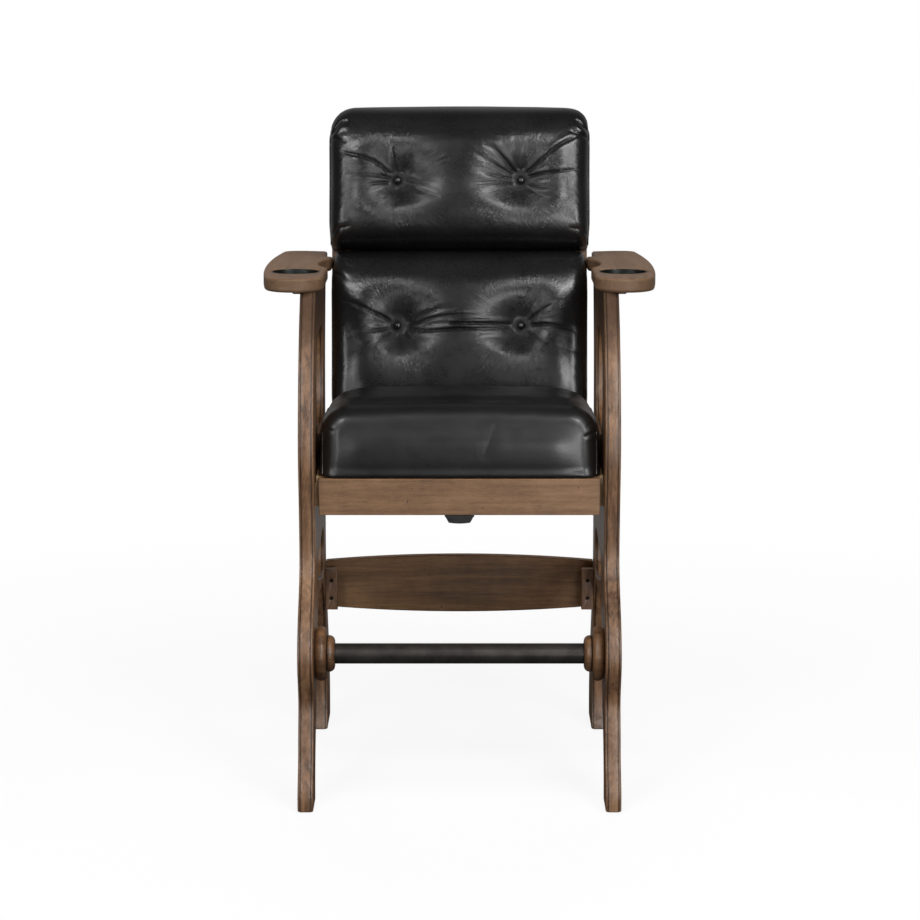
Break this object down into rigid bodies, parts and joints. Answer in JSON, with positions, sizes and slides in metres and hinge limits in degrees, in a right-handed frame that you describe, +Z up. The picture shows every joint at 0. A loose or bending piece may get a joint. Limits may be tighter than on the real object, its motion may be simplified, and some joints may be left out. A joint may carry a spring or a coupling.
{
  "type": "spectator bar stool",
  "caption": "Tall upholstered stool with shaped wooden sides, a tufted back, cup wells and cue notches in its armrests, a shallow drawer under the seat and a tube footrest.",
  "frame": {"origin": "on the floor, under the middle of the stool's outline", "axes": "+Z up, +X towards the stool's right side as seen from the front, -Y towards the front, where the sitter's feet and the drawer's pull are"},
  "size_m": [0.7528, 0.7551, 1.2573],
  "materials": {
    "stained_wood": "dark satin stain",
    "plain_wood": "unstained, matte",
    "black_leather": "smooth semi-gloss",
    "bronze_metal": "dark satin",
    "cup_metal": "dark satin",
    "dark_plastic": "matte",
    "steel": "zinc plated"
  },
  "bodies": {
    "stool": {"right_side_frame": "stained_wood", "left_side_frame": "stained_wood", "right_armrest": "stained_wood", "left_armrest": "stained_wood", "right_armrest_cleat": "stained_wood", "left_armrest_cleat": "stained_wood", "right_footrest_rosette": "stained_wood", "left_footrest_rosette": "stained_wood", "rear_stretcher": "stained_wood", "right_stretcher_block": "stained_wood", "left_stretcher_block": "stained_wood", "right_seat_rail": "plain_wood", "left_seat_rail": "plain_wood", "rear_seat_rail": "plain_wood", "right_drawer_runner": "plain_wood", "left_drawer_runner": "plain_wood", "right_back_upright": "plain_wood", "left_back_upright": "plain_wood", "back_top_rail": "plain_wood", "back_middle_rail": "plain_wood", "back_lower_rail": "plain_wood", "seat_deck": "plain_wood", "back_panel": "plain_wood", "seat_cushion": "black_leather", "upper_back_cushion": "black_leather", "lower_back_cushion": "black_leather", "back_buttons": "black_leather", "back_cover": "black_leather", "footrest_tube": "bronze_metal", "right_cup_insert": "cup_metal", "left_cup_insert": "cup_metal", "floor_glides": "dark_plastic", "footrest_tube_plugs": "steel", "seat_frame_bolts": "steel", "footrest_bolts": "steel", "stretcher_bolts": "steel", "stretcher_block_screws": "steel", "armrest_screws": "steel", "deck_screws": "steel", "back_frame_bolts": "steel"},
    "drawer": {"drawer_front": "stained_wood", "drawer_back": "plain_wood", "drawer_bottom": "plain_wood", "drawer_pull": "dark_plastic", "right_drawer_side": "plain_wood", "left_drawer_side": "plain_wood"}
  },
  "joints": [
    {"name": "drawer_slide", "type": "slide", "parent": "stool", "child": "drawer", "axis": [0, -1, 0], "range_m": [0, 0.24]}
  ]
}
